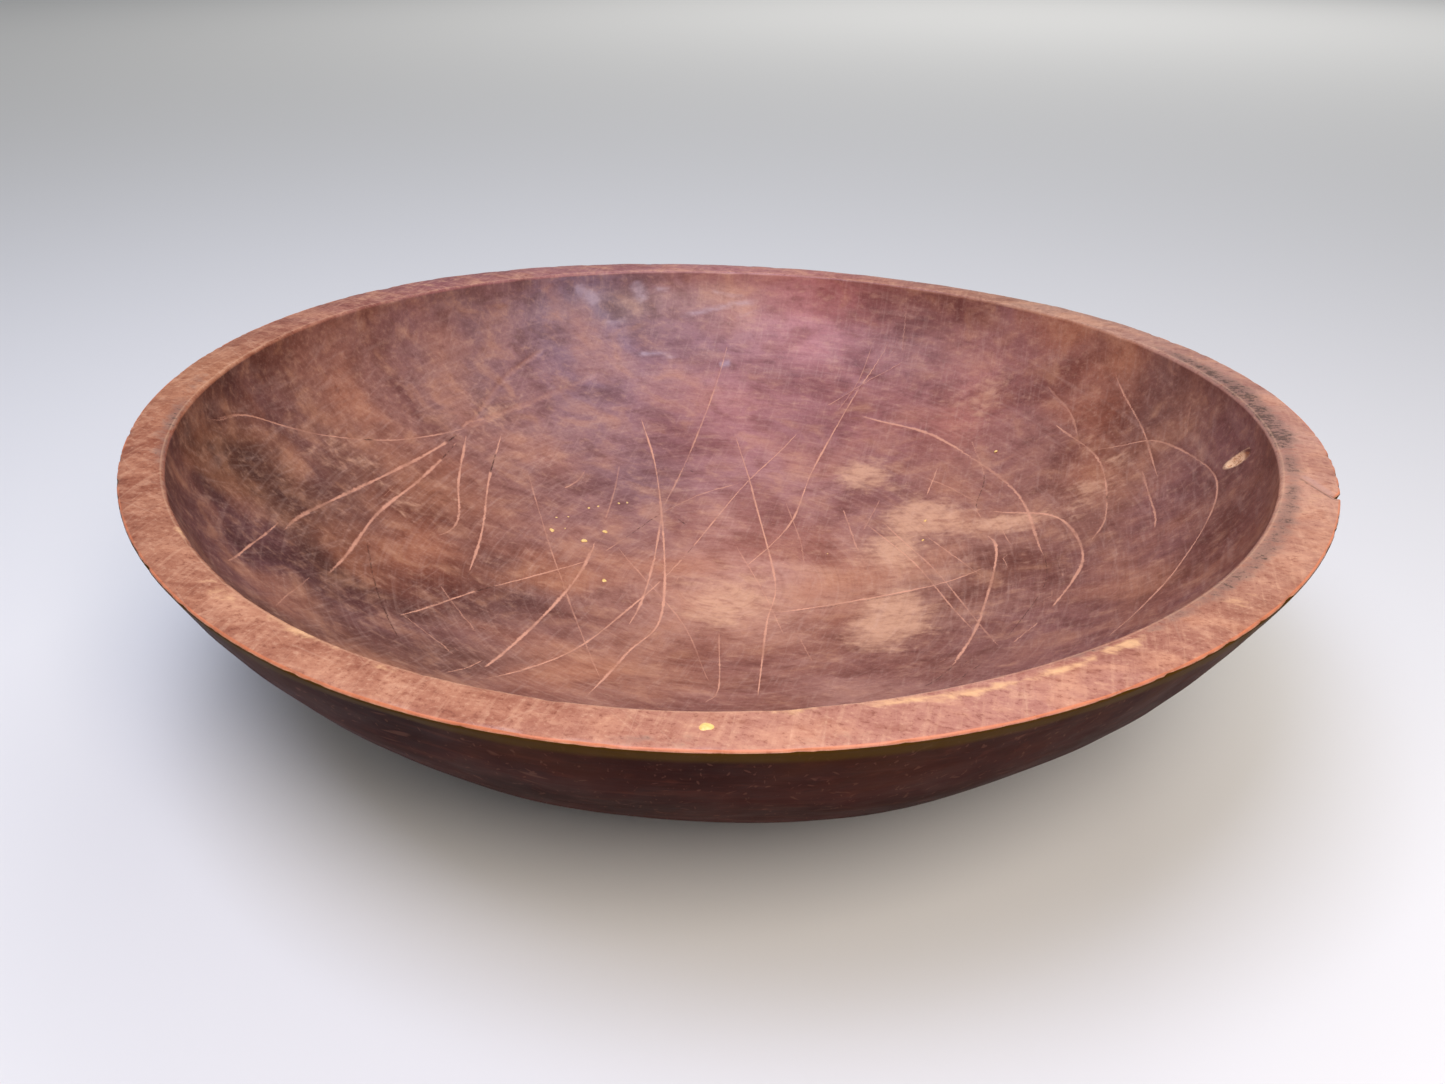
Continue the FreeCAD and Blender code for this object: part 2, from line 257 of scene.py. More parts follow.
# The rim's own marks: angle round the bowl in degrees, mm in from the outer edge, reach along
# the rim and across it in mm, and strength
SOOT_PLACES = [
    (31, 11, 14, 2.5, 0.60), (25, 11, 14, 4.0, 0.85), (18, 11, 14, 4.5, 0.95),
    (11, 12, 14, 4.5, 1.00), (5, 12, 12, 4.5, 0.95), (-2, 13, 10, 3.0, 0.80),
    (-8, 13, 10, 2.5, 0.75), (-14, 13, 12, 3.5, 0.85), (-21, 13, 12, 3.2, 0.85),
    (-28, 14, 12, 2.6, 0.75), (-35, 14, 12, 2.0, 0.60), (-45, 15, 14, 1.2, 0.60),
    (-58, 15, 14, 1.0, 0.50), (-78, 3, 12, 1.4, 0.50), (-66, 3, 10, 1.2, 0.40),
    (-123, 14, 14, 1.5, 0.40), (-138, 13, 12, 2.5, 0.40), (-147, 13, 14, 3.0, 0.65),
    (-156, 12, 14, 3.0, 0.70), (-165, 10, 10, 2.5, 0.50),
]
OCHRE_PLACES = [
    (-108, 12, 14, 2.2, 0.7), (-99, 11, 8, 1.6, 0.5), (-68, 13, 10, 1.4, 0.7), (-60, 13, 10, 1.5, 0.9),
    (-54, 12, 9, 1.7, 0.9), (-47, 12, 9, 1.8, 1.0), (-41, 13, 8, 1.8, 0.9), (-29, 8, 12, 4, 0.4),
    (-11, 7, 8, 3, 0.5), (-118, 9, 10, 3, 0.5), (-130, 13, 4, 1.8, 0.8), (150, 8, 40, 3, 0.4),
]

# Dried drips: place in plan, radius and height in mm
RIM_DRIP = [(49.1, -169.9, 1.7, 0.8), (47.0, -170.3, 0.8, 0.35)]
INSIDE_FLECKS = [
    (-60, 11, 1.15, 0.5), (-55, 21, 1.0, 0.4), (-74, 11, 1.0, 0.4), (-42, -12, 1.2, 0.5),
    (-67, 33, 0.6, 0.3), (-64, 36, 0.5, 0.25), (-76, 20, 0.5, 0.25), (-72, 23, 0.45, 0.2),
    (-57, 42, 0.5, 0.25), (-54, 44, 0.5, 0.25), (-70, 15, 0.35, 0.2), (71, 57, 0.6, 0.3),
    (72, 44, 0.5, 0.25), (94, 96, 0.6, 0.3), (36, 33, 0.4, 0.2),
]
DRIP_SEAT = 0.15            # how deep a drip's underside sits in the wood
DRIP_TURNS = 18             # steps round a drip
DRIP_ROWS = (0, 0.5, 1.0, 1.2, 1.4, 1.6, 1.8, 2)


# ---- the bowl's form, in millimetres ----
def oval_radius(angle, half_length, half_across):
    """Polar radius of an oval: 1 / sqrt((cos a / half length)^2 + (sin a / half across)^2)."""
    return 1 / np.hypot(np.cos(angle) / half_length, np.sin(angle) / half_across)


def wander(angle, waves):
    """Small swells round the bowl: a sum of sines, each with its waves in a turn and phase."""
    return sum(height * np.sin(count * angle + phase) for count, height, phase in waves)


def outer_radius(angle):
    """Radius of the rim's outer edge at each angle: an oval, less wear, with handwork's wander."""
    return oval_radius(angle, HALF_LENGTH, HALF_ACROSS) - EDGE_LOSS + wander(angle, OUTER_WANDER)


def inner_radius(angle):
    """Radius of the hollow's mouth at each angle: an oval turned against the outer one."""
    length = HALF_LENGTH - RIM_WIDTH_ENDS
    across = HALF_ACROSS - RIM_WIDTH_SIDES
    return oval_radius(angle - HOLLOW_TURN, length, across) + wander(angle, INNER_WANDER)


def rim_level(angle, radius):
    """Height of the rim: a saddle, high where it crosses X and low where it crosses Y."""
    along = radius * np.cos(angle) / HALF_LENGTH
    across = radius * np.sin(angle) / HALF_ACROSS
    return BOWL_HEIGHT + RIM_WARP * (along ** 2 - across ** 2)


def hollow_level(x, y):
    """Height of the hollow's surface over a place in plan: the lower half of an ellipsoid."""
    angle = np.arctan2(y, x)
    share = np.hypot(x, y) / inner_radius(angle)
    return RIM_TOP - HOLLOW_DEPTH * np.sqrt(np.clip(1 - share ** 2, 0, None))


def wall_circle():
    """Middle and radius of the circle that the wall's section follows, from foot to rim."""
    foot = np.array([FOOT_RADIUS, 0.0])
    rim = np.array([TURNED_RADIUS, RIM_TOP])
    chord = rim - foot
    length = np.hypot(*chord)
    inward = np.array([-chord[1], chord[0]]) / length
    radius = (length ** 2 / 4 + WALL_BULGE ** 2) / (2 * WALL_BULGE)
    return (foot + rim) / 2 + inward * (radius - WALL_BULGE), radius


WALL_MIDDLE, WALL_CIRCLE = wall_circle()


def wall_turn(level):
    """Angle on the wall's circle at a height: arc sine of the height over the circle's middle."""
    return np.arcsin((level - WALL_MIDDLE[1]) / WALL_CIRCLE)


def wall_radius(turn):
    """Radius of the wall before the oval, at an angle on its circle."""
    return WALL_MIDDLE[0] + WALL_CIRCLE * np.cos(turn)


# Parts of the section from the middle of the base to the middle of the hollow, and how many
# rows of faces each has
BASE, FOOT, WALL, BAND, OUTER_EDGE, FLAT, INNER_EDGE, HOLLOW = range(8)
ROWS = {BASE: 2, FOOT: 3, WALL: 12, BAND: 3, OUTER_EDGE: 4, FLAT: 5, INNER_EDGE: 4, HOLLOW: 60}
TURNS = 360                 # steps round the bowl
HOLLOW_EASE = 0.35          # how much closer the hollow's rows lie on its steep wall
FINE_REACH = 1.3            # mm round the damage where faces are halved once
FINEST_REACH = 0.8          # and where they are halved again


def bowl_surface(angle, row):
    """Points of the bowl's skin at each angle and row.

    The row's whole number is the part of the section and its fraction the place in it. From the
    middle of the base: flat base, rounded foot, wall as an arc of a circle, the last strip of
    it, rounded outer edge, crowned flat of the rim, quarter-round inner edge, and the hollow
    as a quarter of an ellipse down to its middle. All radii grow and shrink round the bowl with
    the ovals of the rim.
    """
    section = np.clip(np.floor(row), BASE, HOLLOW)
    share = row - section
    outer = outer_radius(angle)
    inner = inner_radius(angle)
    outer_level = rim_level(angle, outer)
    inner_level = rim_level(angle, inner)
    stretch = outer / wall_radius(wall_turn(outer_level))
    quarter = share * math.pi / 2
    foot_inner = FOOT_RADIUS - FOOT_CHAMFER
    foot_turn = wall_turn(FOOT_CHAMFER)
    strip_turn = wall_turn(outer_level - EDGE_BAND)
    edge_turn = wall_turn(outer_level - OUTER_ROUND)
    wall = foot_turn + (strip_turn - foot_turn) * share
    strip = strip_turn + (edge_turn - strip_turn) * share
    foot_step = wall_radius(foot_turn) - foot_inner
    edge_radius = wall_radius(edge_turn) * stretch
    edge_step = edge_radius - outer + OUTER_ROUND
    flat_radius = (outer - OUTER_ROUND) + (inner + INNER_ROUND - outer + OUTER_ROUND) * share
    crown = RIM_CROWN * np.sin(share * math.pi)
    mouth = np.arcsin((RIM_TOP - inner_level + INNER_ROUND) / HOLLOW_DEPTH)
    eased = share + HOLLOW_EASE * share * (share - 1)
    dive = mouth + (math.pi / 2 - mouth) * eased
    mouth_radius = inner / np.cos(mouth)
    radii = [
        foot_inner * share * stretch,
        (foot_inner + foot_step * np.sin(quarter)) * stretch,
        wall_radius(wall) * stretch,
        wall_radius(strip) * stretch,
        edge_radius - edge_step * (1 - np.cos(quarter)),
        flat_radius,
        inner + INNER_ROUND * (1 - np.sin(quarter)),
        mouth_radius * np.cos(dive),
    ]
    levels = [
        0 * share,
        FOOT_CHAMFER * (1 - np.cos(quarter)),
        WALL_MIDDLE[1] + WALL_CIRCLE * np.sin(wall),
        WALL_MIDDLE[1] + WALL_CIRCLE * np.sin(strip),
        outer_level - OUTER_ROUND * (1 - np.sin(quarter)),
        rim_level(angle, flat_radius) + crown,
        inner_level - INNER_ROUND * (1 - np.cos(quarter)),
        RIM_TOP - HOLLOW_DEPTH * np.sin(dive),
    ]
    parts = [section == part for part in range(HOLLOW + 1)]
    radius = np.select(parts, radii)
    level = np.select(parts, levels)
    return np.stack([radius * np.cos(angle), radius * np.sin(angle), level], axis=-1)


# ---- arrays: fades, random relief and distances ----
def fade(value, start, end):
    """0 at start, 1 at end, and a smooth step between (3t^2 - 2t^3); start may be the larger."""
    t = np.clip((value - start) / (end - start), 0, 1)
    return t * t * (3 - 2 * t)


def ripple(points, size, seed, count=28):
    """Smooth random relief, mostly within -1 to 1: a sum of plane waves about one size long."""
    draw = np.random.default_rng(seed)
    ways = draw.normal(size=(count, 3))
    ways /= np.linalg.norm(ways, axis=1, keepdims=True)
    lengths = size * draw.uniform(0.7, 1.7, count)
    phases = draw.uniform(0, TAU, count)
    swell = np.sin(points @ (ways / lengths[:, None]).T * TAU + phases)
    return swell.sum(axis=1) / math.sqrt(count) * 0.9


def smooth_path(places, step=3.0):
    """A Catmull-Rom curve through given places in plan, in steps of about step mm."""
    places = np.array(places, float)
    if len(places) == 2:
        places = np.array([places[0], places.mean(axis=0), places[1]])
    ends = np.vstack([2 * places[0] - places[1], places, 2 * places[-1] - places[-2]])
    path = []
    for a, b, c, d in zip(ends, ends[1:], ends[2:], ends[3:]):
        count = max(2, int(np.hypot(*(c - b)) / step))
        t = np.linspace(0, 1, count, endpoint=False)[:, None]
        bend = (2 * a - 5 * b + 4 * c - d) * t ** 2 + (3 * b - a - 3 * c + d) * t ** 3
        path.append((2 * b + (c - a) * t + bend) / 2)
    return np.vstack(path + [places[-1:]])


def on_hollow(path):
    """Plan places lifted onto the hollow's surface."""
    return np.column_stack([path, hollow_level(path[:, 0], path[:, 1])])


def on_rim(path):
    """Plan places lifted onto the rim."""
    angle = np.arctan2(path[:, 1], path[:, 0])
    return np.column_stack([path, rim_level(angle, np.hypot(path[:, 0], path[:, 1]))])


def near_path(points, path, reach):
    """Points within reach of a path: their numbers, signed distances and shares of its length.

    The distance is to the nearest straight run of the path, and its sign is the side in plan.
    """
    low = path.min(axis=0) - reach
    high = path.max(axis=0) + reach
    close = np.flatnonzero(((points > low) & (points < high)).all(axis=1))
    starts = path[:-1]
    runs = path[1:] - starts
    lengths = np.linalg.norm(runs, axis=1)
    before = np.concatenate([[0], np.cumsum(lengths)[:-1]])
    gap = points[close, None, :] - starts[None]
    share = np.clip((gap * runs).sum(axis=2) / (lengths ** 2), 0, 1)
    distance = np.linalg.norm(gap - share[..., None] * runs, axis=2)
    nearest = distance.argmin(axis=1)
    rows = np.arange(len(close))
    side = runs[nearest, 0] * gap[rows, nearest, 1] - runs[nearest, 1] * gap[rows, nearest, 0]
    along = (before[nearest] + share[rows, nearest] * lengths[nearest]) / lengths.sum()
    return close, distance[rows, nearest] * np.where(side < 0, -1, 1), along


def outward(angle):
    """Level direction away from the bowl's middle at an angle."""
    return np.array([math.cos(angle), math.sin(angle), 0])


def chip_place():
    """Centre, length direction and width direction of the chip in the hollow's wall."""
    shrink = math.sqrt(1 - (CHIP_BELOW_TOP / HOLLOW_DEPTH) ** 2)
    radius = inner_radius(CHIP_ANGLE) * shrink
    centre = outward(CHIP_ANGLE) * radius + [0, 0, RIM_TOP - CHIP_BELOW_TOP]
    slope = radius / HOLLOW_DEPTH * CHIP_BELOW_TOP / HOLLOW_DEPTH
    up_wall = outward(CHIP_ANGLE) * slope + [0, 0, 1]
    up_wall /= np.linalg.norm(up_wall)
    level_way = outward(CHIP_ANGLE - math.pi / 2)
    long_way = up_wall * math.cos(CHIP_LEAN) + level_way * math.sin(CHIP_LEAN)
    wide_way = level_way * math.cos(CHIP_LEAN) - up_wall * math.sin(CHIP_LEAN)
    return centre, long_way, wide_way


def nick_place():
    """The point of the rim's outer edge that the nick bites into."""
    radius = outer_radius(NICK_ANGLE)
    return np.append(outward(NICK_ANGLE)[:2] * radius, rim_level(NICK_ANGLE, radius))


# ---- the bowl's mesh ----
def closed_grid(rows, turns):
    """Faces, angles and rows of a closed grid: rings of points, with a pole at each end.

    The poles take the first and the last of the rows, and each row between them is one ring.
    """
    angle, row = np.meshgrid(np.arange(turns) * TAU / turns, rows[1:-1])
    index = np.arange(row.size).reshape(row.shape)
    beside = np.roll(index, -1, axis=1)
    quads = np.stack([index[:-1], beside[:-1], beside[1:], index[1:]], axis=-1).reshape(-1, 4)
    low_fan = np.stack([beside[0], index[0], np.full(turns, row.size)], axis=-1)
    high_fan = np.stack([index[-1], beside[-1], np.full(turns, row.size + 1)], axis=-1)
    faces = quads.tolist() + low_fan.tolist() + high_fan.tolist()
    return faces, np.append(angle.ravel(), [0, 0]), np.append(row.ravel(), [rows[0], rows[-1]])


def in_scene(name, data):
    """A new object for a mesh, a light or a camera, linked into the scene."""
    thing = bpy.data.objects.new(name, data)
    bpy.context.scene.collection.objects.link(thing)
    return thing


def smooth_piece(name, mesh):
    """A new object for a mesh whose faces are all shaded smooth."""
    mesh.polygons.foreach_set("use_smooth", np.ones(len(mesh.polygons), bool))
    return in_scene(name, mesh)


def set_values(mesh, name, values):
    """Keep one number, or three, per vertex as a named attribute."""
    kind, field = ("FLOAT", "value") if values.ndim == 1 else ("FLOAT_VECTOR", "vector")
    layer = mesh.attributes.get(name) or mesh.attributes.new(name, kind, "POINT")
    layer.data.foreach_set(field, np.ascontiguousarray(values, dtype=np.float32).ravel())


def get_values(mesh, name):
    """The numbers of a named vertex attribute."""
    values = np.empty(len(mesh.vertices), np.float32)
    mesh.attributes[name].data.foreach_get("value", values)
    return values.astype(float)


def get_vectors(mesh, field):
    """The mesh's vertex places ("co") or normals ("normal") as an array."""
    mesh.update()
    vectors = np.empty(len(mesh.vertices) * 3, np.float32)
    mesh.vertices.foreach_get(field, vectors)
    return vectors.reshape(-1, 3).astype(float)


def distance_to_damage(points):
    """Distance from each point to the nearest scar, chip or nick, in mm."""
    nearest = np.full(len(points), FAR_AWAY)
    paths = [on_hollow(smooth_path(places)) for places, *_ in SCARS]
    paths.append(on_rim(smooth_path(NICK_TAIL)))
    for path in paths:
        close, distance, _ = near_path(points, path, SCAR_REACH)
        nearest[close] = np.minimum(nearest[close], np.abs(distance))
    chip, _, _ = chip_place()
    to_chip = np.linalg.norm(points - chip, axis=1) - CHIP_HALF_LENGTH
    to_nick = np.linalg.norm(points - nick_place(), axis=1) - NICK_HALF_WIDTH - 2
    return np.minimum(nearest, np.minimum(to_chip, to_nick))


def refine(mesh, chosen):
    """Split each four-sided face that has a chosen vertex, so that finer shapes can be cut."""
    work = bmesh.new()
    work.from_mesh(mesh)
    edges = set()
    for face in work.faces:
        if len(face.verts) == 4 and any(chosen[vertex.index] for vertex in face.verts):
            edges.update(face.edges)
    bmesh.ops.subdivide_edges(work, edges=list(edges), cuts=1, use_grid_fill=True)
    odd = [face for face in work.faces if len(face.verts) > 4]
    bmesh.ops.triangulate(work, faces=odd)
    work.to_mesh(mesh)
    work.free()


def refined_skin():
    """The bowl's skin with finer faces along the rim's edges and round the damage."""
    rows = [part + np.arange(count) / count for part, count in ROWS.items()]
    faces, angles, rows = closed_grid(np.concatenate(rows + [[HOLLOW + 1]]), TURNS)
    mesh = bpy.data.meshes.new("wooden_bowl")
    mesh.from_pydata(bowl_surface(angles, rows), [], faces)
    set_values(mesh, "row", rows)
    edges = (np.abs(rows - OUTER_EDGE - 0.5) < 0.7) | (np.abs(rows - INNER_EDGE - 0.5) < 0.6)
    refine(mesh, edges | (distance_to_damage(get_vectors(mesh, "co")) < FINE_REACH))
    refine(mesh, distance_to_damage(get_vectors(mesh, "co")) < FINEST_REACH)
    rows = get_values(mesh, "row")
    points = get_vectors(mesh, "co")
    angles = np.arctan2(points[:, 1], points[:, 0])
    mesh.vertices.foreach_set("co", bowl_surface(angles, rows).ravel())
    return mesh, rows


def move_skin(mesh, points):
    """Put the vertices in new places and return their new normals."""
    mesh.vertices.foreach_set("co", points.ravel())
    return get_vectors(mesh, "normal")


def waves(points, kind):
    """Waves of one kind at each point, in mm."""
    size, height, seed = kind
    return ripple(points, size, seed) * height


def hand_relief(points, rows):
    """Height of the tool waves, turning ridges and edge losses over the true form, in mm.

    The waves on the wall are drawn out along the grain, and each kind fades at its part's ends.
    """
    hollow = fade(rows, HOLLOW, HOLLOW + 0.05)
    flat = fade(rows, OUTER_EDGE + 0.5, FLAT + 0.1) * fade(rows, INNER_EDGE + 0.5, INNER_EDGE)
    outside = fade(rows, FOOT + 1, WALL + 0.1) * fade(rows, OUTER_EDGE, BAND)
    radius = np.hypot(points[:, 0], points[:, 1])
    relief = waves(points * [0.5, 1, 1], WALL_WAVES) * outside
    relief += waves(points, HOLLOW_WAVES) * hollow
    relief += RIDGE_HEIGHT * np.sin(radius / RIDGE_STEP * TAU) * hollow * fade(radius, 20, 60)
    relief += waves(points, RIM_WAVES) * flat
    for edge, losses in ((OUTER_EDGE, OUTER_LOSSES), (INNER_EDGE, INNER_LOSSES)):
        on_edge = np.exp(-((rows - edge - 0.5) / EDGE_ROWS) ** 2)
        for size, seed, spared, loss in losses:
            relief -= np.clip(ripple(points, size, seed) - spared, 0, 1) * loss * on_edge
    return relief


def group_scars(paths):
    """Share the scars out so that those of one group keep clear of each other where they can."""
    groups = [[] for _ in range(SCAR_GROUPS)]
    for number, path in enumerate(paths):
        crowding = []
        for group in groups:
            gaps = [np.linalg.norm(path[:, None] - paths[other][None], axis=2).min()
                    for other in group]
            crowding.append(sum(max(0, SCAR_CLEAR - gap) for gap in gaps))
        groups[int(np.argmin(crowding))].append(number)
    return groups


def scar_layers(points):
    """Three numbers per vertex for each group of scars, and how deep the scars are pressed.

    They are the signed distance to the nearest scar in half widths, how pale it is there and
    how dirty. Scars narrow over an eighth of their length at both ends, their width wavers by a
    fifth, and each is pressed in as a Gaussian across its path.
    """
    paths = [on_hollow(smooth_path(scar[0])) for scar in SCARS]
    depth = np.zeros(len(points))
    layers = []
    for group in group_scars(paths):
        layer = np.zeros((len(points), 3))
        layer[:, 0] = FAR_AWAY
        for number in group:
            _, width, pale, *dirty = SCARS[number]
            close, distance, along = near_path(points, paths[number], SCAR_REACH)
            ends = fade(along, 0, 0.12) * fade(along, 1, 0.88)
            uneven = 1 + 0.22 * np.sin(along * 23 + number)
            half = 0.5 * width * (0.45 + 0.55 * ends) * uneven
            shown = fade(along, 0, 0.03) * fade(along, 1, 0.97)
            shown = shown * fade(np.abs(distance), SCAR_REACH - 1, SCAR_REACH - 2.5)
            first, last, dirt = dirty[0] if dirty else CLEAN
            taken = fade(along, first - 0.01, first + 0.01) * fade(along, last + 0.01, last - 0.01)
            taken *= dirt
            values = np.column_stack([distance / half, pale * shown * (1 - taken), shown * taken])
            nearer = np.abs(values[:, 0]) < np.abs(layer[close, 0])
            layer[close[nearer]] = values[nearer]
            reach = max(0.5 * width, 0.5)
            depth[close] += SCAR_DEPTH * width * np.exp(-(distance / reach) ** 2) * ends
        layers.append(layer)
    return layers, depth


def patches(across, along, places):
    """Sum of soft patches, each a Gaussian with its own reach both ways, at most 1."""
    total = 0
    for middle_across, middle_along, reach_across, reach_along, strength in places:
        away = ((across - middle_across) / reach_across) ** 2
        total = total + strength * np.exp(-away - ((along - middle_along) / reach_along) ** 2)
    return np.clip(total, 0, 1)


def rim_patches(points, places):
    """Soft patches on the rim, placed by angle and by the distance in from its outer edge."""
    angle = np.arctan2(points[:, 1], points[:, 0])
    radius = np.hypot(points[:, 0], points[:, 1])
    total = 0
    for degrees, inset, *shape in places:
        turn = angle - math.radians(degrees)
        round_rim = np.arctan2(np.sin(turn), np.cos(turn)) * radius
        total = total + patches(round_rim, outer_radius(angle) - radius, [(0, inset, *shape)])
    return np.clip(total, 0, 1)


def stain_shade_and_sheen_colours(points):
    """The stain's colour at each vertex, with its painted shade and painted sheen: soft patches laid
    over each other in turn.
    """
    skin = np.tile(colour(STAIN)[:3], (len(points), 1))
    for x, y, reach, code, strength in STAIN_SHADE_AND_SHEEN_PLACES:
        away = ((points[:, 0] - x) ** 2 + (points[:, 1] - y) ** 2) / reach ** 2
        share = (strength * np.exp(-away))[:, None]
        skin = skin * (1 - share) + np.array(colour(code)[:3]) * share
    return skin


def rim_colours(points):
    """The rim's tone at each vertex: blended from one named angle to the next."""
    degrees = np.degrees(np.arctan2(points[:, 1], points[:, 0]))
    angles = [angle for angle, _ in RIM_TONES]
    tones = np.array([colour(code)[:3] for _, code in RIM_TONES])
    return np.column_stack([np.interp(degrees, angles, tone, period=360) for tone in tones.T])


def scuff_strength(points):
    """How scuffed each vertex is: soft bands along the scuffs."""
    total = np.zeros(len(points))
    for places, width, strength in SCUFFS:
        close, distance, along = near_path(points, on_hollow(smooth_path(places)), width + 2)
        ends = fade(along, 0, 0.2) * fade(along, 1, 0.8)
        band = np.exp(-(distance / (0.6 * width)) ** 2) * ends * strength
        total[close] = np.maximum(total[close], band)
    return total


def chop_chip(points, normals):
    """Scoop the chip out, and return how fresh each vertex's wood is and how far inside it is.

    The chip is an ellipse on the wall, with a low lip round it, a Gaussian across its outline.
    The fresh wood is painted on the chip's lower, lit end and fades towards its upper end; the second
    mask, over the whole inside, carries the painted shade that shows there.
    """
    centre, long_way, wide_way = chip_place()
    gap = points - centre
    along = gap @ long_way / CHIP_HALF_LENGTH
    wide = gap @ wide_way / CHIP_HALF_WIDTH
    near = np.abs(gap @ np.cross(long_way, wide_way)) < CHIP_HALF_LENGTH
    spread = np.hypot(along, wide)
    inside = fade(spread, 1.0, 0.5) * near
    ridge = np.exp(-((spread - 1.05) / 0.14) ** 2) * near
    points -= normals * (CHIP_DEPTH * inside - CHIP_LIP * ridge)[:, None]
    fresh = fade(spread, 1.0, 0.85) * fade(along, 0.55, 0.0) * near
    return np.clip(fresh + 0.45 * ridge * (along < 0.9), 0, 1), inside


def bite_nick(points):
    """Press the nick's V into the rim's outer edge and its tail across the rim.

    Returned are how bruised each vertex is, by the tail, and how shaded: the V and one side of
    the tail.
    """
    out_way = outward(NICK_ANGLE)
    gap = points - nick_place()
    along = np.abs(gap @ outward(NICK_ANGLE + math.pi / 2)) / NICK_HALF_WIDTH
    away = np.hypot(gap @ out_way, gap[:, 2]) / NICK_REACH
    bite = np.clip(1 - along, 0, 1) * fade(away, 1.0, 0.2)
    points -= (out_way * 0.8 + [0, 0, 0.6]) * (NICK_DEPTH * bite)[:, None]
    close, distance, share = near_path(points, on_rim(smooth_path(NICK_TAIL)), 5)
    tail = np.exp(-(distance / (0.6 * NICK_TAIL_WIDTH)) ** 2) * fade(share, 1, 0.6)
    points[close, 2] -= NICK_TAIL_DEPTH * tail
    bruise = np.zeros(len(points))
    bruise[close] = np.exp(-((distance + 0.4) / 1.5) ** 2) * fade(share, 1, 0.8)
    shadow = bite.copy()
    line = np.exp(-((distance - 1.7) / 0.5) ** 2) * fade(share, 1, 0.7)
    shadow[close] = np.maximum(shadow[close], line)
    return bruise, shadow


def outside_faces(mesh, rows):
    """1 for each face of the base and outer wall, which take the second material, else 0."""
    sizes = np.empty(len(mesh.polygons), int)
    mesh.polygons.foreach_get("loop_total", sizes)
    corners = np.empty(len(mesh.loops), int)
    mesh.loops.foreach_get("vertex_index", corners)
    starts = np.concatenate([[0], np.cumsum(sizes)[:-1]])
    highest = np.maximum.reduceat(rows[corners], starts)
    return (highest < OUTER_EDGE + 0.3).astype(int)


def build_bowl():
    """The whole bowl as one closed skin, with its wear, scars, chip and nick."""
    mesh, rows = refined_skin()
    points = get_vectors(mesh, "co")
    normals = get_vectors(mesh, "normal")
    points += normals * hand_relief(points, rows)[:, None]
    normals = move_skin(mesh, points)

    hollow = fade(rows, HOLLOW, HOLLOW + 0.03)
    layers, depth = scar_layers(points)
    for number, layer in enumerate(layers):
        set_values(mesh, f"scars_{number}", layer)
    on_the_rim = fade(rows, HOLLOW + 0.02, INNER_EDGE + 0.8)[:, None]
    marks = {
        "tone": stain_shade_and_sheen_colours(points) * (1 - on_the_rim) + rim_colours(points) * on_the_rim,
        "worn": patches(points[:, 0], points[:, 1], WORN_PLACES) * hollow,
        "scuffed": scuff_strength(points) * hollow,
        "soot": rim_patches(points, SOOT_PLACES),
        "ochre": rim_patches(points, OCHRE_PLACES),
    }
    points -= normals * depth[:, None]
    marks["fresh"], marks["chip_shade"] = chop_chip(points, normals)
    marks["bruise"], marks["shadow"] = bite_nick(points)
    for name, values in marks.items():
        set_values(mesh, name, values)

    points[:, 2] = np.maximum(points[:, 2], 0)
    mesh.vertices.foreach_set("co", (points * MM).ravel())
    mesh.polygons.foreach_set("material_index", outside_faces(mesh, rows))
    bowl = smooth_piece("wooden_bowl", mesh)
    mesh.update()
    return bowl


def drip_surface(angle, row, radius, rise, seed):
    """One drip about its own middle: x, y and height for each angle and row.

    Rows 0 to 1 are a flat underside sunk into the wood, from its middle out. Rows 1 to 2 are a
    dome: in the section a quarter of an ellipse, from the edge to the top. The outline is a
    circle swelled by two sines, twice and three times round.
    """
    lobes = 1 + 0.16 * np.sin(2 * angle + seed) + 0.10 * np.sin(3 * angle + 2 * seed)
    climb = (row - 1) * math.pi / 2
    reach = radius * lobes * np.where(row < 1, row, np.cos(climb))
    height = np.where(row < 1, 0, (rise + DRIP_SEAT) * np.sin(climb)) - DRIP_SEAT
    return reach * np.cos(angle), reach * np.sin(angle), height


def build_drips(name, drips, lift):
    """Closed drips on the wood, as one piece: each a grid with a pole below and one on top."""
    pattern, angles, rows = closed_grid(DRIP_ROWS, DRIP_TURNS)
    points = []
    faces = []
    for number, (x, y, radius, rise) in enumerate(drips):
        across, along, height = drip_surface(angles, rows, radius, rise, number + 0.7)
        base = lift(np.column_stack([x + across, y + along]))
        start = number * len(rows)
        points.append((base + np.outer(height, [0, 0, 1])) * MM)
        faces += [[corner + start for corner in face] for face in pattern]
    mesh = bpy.data.meshes.new(name)
    mesh.from_pydata(np.vstack(points), [], faces)
    return smooth_piece(name, mesh)


# ---- materials ----
FACTOR, UNDER, OVER = 0, 6, 7       # a colour Mix node's inputs
WOOD_IOR = 1.46                     # of an oiled or waxed finish
WOOD_RELIEF = 0.12                  # mm, what the bump of pores, rings and scars is worth


def colour(code):
    """An sRGB hex colour as linear red, green, blue and full alpha."""
    shares = [int(code[place:place + 2], 16) / 255 for place in (1, 3, 5)]
    linear = [s / 12.92 if s <= 0.04045 else ((s + 0.055) / 1.055) ** 2.4 for s in shares]
    return (*linear, 1.0)


def add(tree, kind, links, **settings):
    """Add a node and return its first live output.

    Settings are its properties, and links its inputs, each a constant or another's output.
    """
    node = tree.nodes.new("ShaderNode" + kind)
    for name, value in settings.items():
        setattr(node, name, value)
    for name, value in links.items():
        if isinstance(value, bpy.types.NodeSocket):
            tree.links.new(value, node.inputs[name])
        else:
            node.inputs[name].default_value = value
    return next((output for output in node.outputs if output.enabled), node)


def new_material(name):
    """An empty node material and its tree."""
    material = bpy.data.materials.new(name)
    material.use_nodes = True
    material.node_tree.nodes.clear()
    return material, material.node_tree


